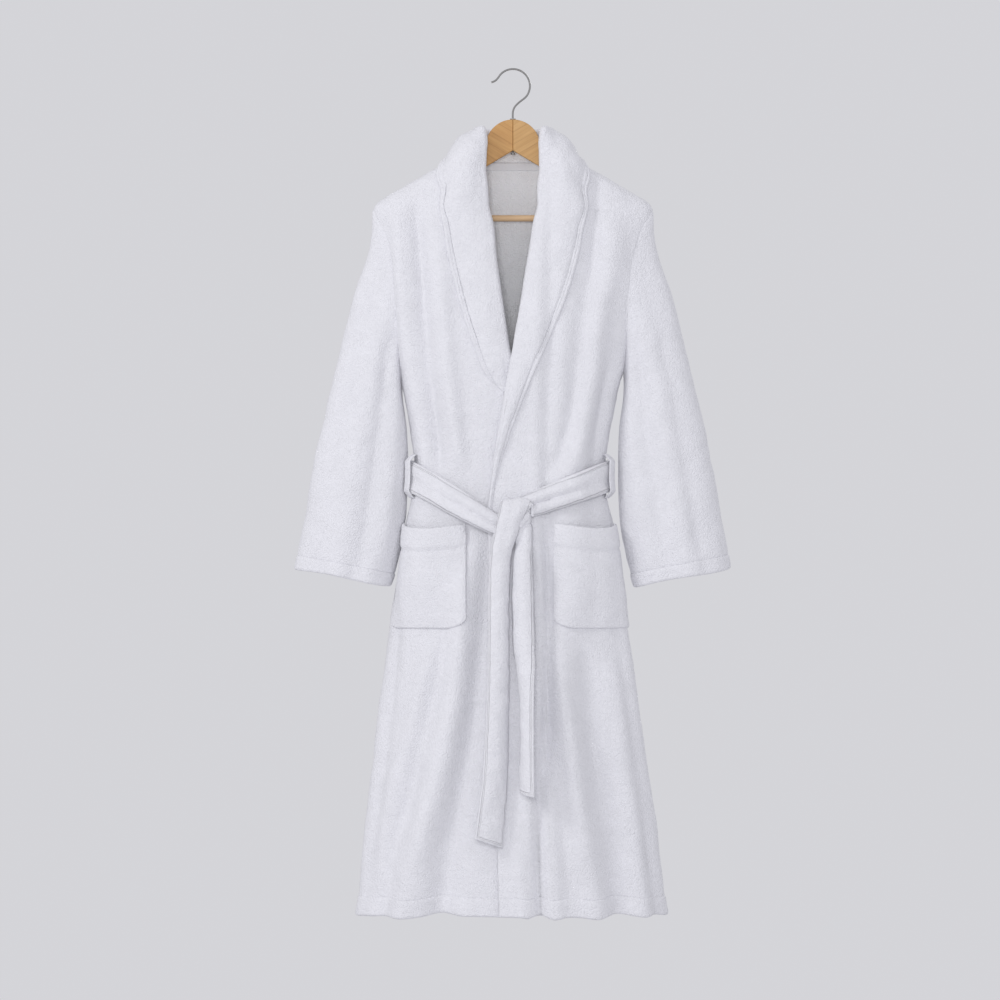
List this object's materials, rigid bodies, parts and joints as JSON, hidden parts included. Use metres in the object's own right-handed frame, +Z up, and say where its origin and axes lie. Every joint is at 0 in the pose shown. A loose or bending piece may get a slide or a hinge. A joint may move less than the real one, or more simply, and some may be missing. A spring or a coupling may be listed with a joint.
{
  "type": "bathrobe on a hanger",
  "caption": "White terry bathrobe with a shawl collar, piped edges, patch pockets and a tied sash belt, hanging on a wooden hanger with a swivelling wire hook.",
  "frame": {"origin": "point under the crown of the hook, where a rail or peg carries it", "axes": "+Z up; the front of the robe faces -Y; +X is the wearer's left"},
  "size_m": [0.6698, 0.204, 1.293],
  "materials": {
    "terry": "looped cotton pile, white",
    "tape": "smooth woven cotton tape",
    "wood": "clear satin lacquer on light laminated wood",
    "steel": "bright drawn wire"
  },
  "bodies": {
    "hook": {"hook": "steel", "hook_nut": "steel"},
    "hanger": {"hanger_left_arm": "wood", "hanger_right_arm": "wood", "hanger_bar": "wood", "hook_washer": "steel"},
    "robe": {"left_front": "terry", "right_front": "terry", "back_panel": "terry", "left_front_hem": "terry", "right_front_hem": "terry", "back_hem": "terry", "left_facing": "terry", "right_facing": "terry", "collar_stand": "terry", "left_collar": "terry", "right_collar": "terry", "left_collar_piping": "terry", "right_collar_piping": "terry", "neck_tape": "tape", "left_pocket": "terry", "right_pocket": "terry", "belt": "terry", "belt_knot": "terry", "left_belt_loop": "terry", "right_belt_loop": "terry", "left_upper_sleeve": "terry", "right_upper_sleeve": "terry"},
    "left_sleeve": {"left_lower_sleeve": "terry", "left_cuff": "terry"},
    "right_sleeve": {"right_lower_sleeve": "terry", "right_cuff": "terry"},
    "short_tail": {"belt_short_tail": "terry"},
    "long_tail": {"belt_long_tail": "terry"}
  },
  "joints": [
    {"name": "hook_swivel", "type": "hinge", "parent": "hook", "child": "hanger", "pos_m": [0, 0, -0.076], "axis": [0, 0, 1], "continuous": true},
    {"name": "robe_lift", "type": "slide", "parent": "hanger", "child": "robe", "axis": [0, 0, 1], "range_m": [0, 0.06]},
    {"name": "left_sleeve_out", "type": "hinge", "parent": "robe", "child": "left_sleeve", "pos_m": [0.2485, 0, -0.3785], "axis": [0, -1, 0], "range_deg": [0, 45]},
    {"name": "right_sleeve_out", "type": "hinge", "parent": "robe", "child": "right_sleeve", "pos_m": [-0.2485, 0, -0.3785], "axis": [0, 1, 0], "range_deg": [0, 45]},
    {"name": "short_tail_swing", "type": "hinge", "parent": "robe", "child": "short_tail", "pos_m": [0.018, -0.0935, -0.7082], "axis": [-1, 0, 0], "range_deg": [0, 60]},
    {"name": "long_tail_swing", "type": "hinge", "parent": "robe", "child": "long_tail", "pos_m": [-0.0175, -0.0935, -0.7082], "axis": [-1, 0, 0], "range_deg": [0, 60]}
  ]
}
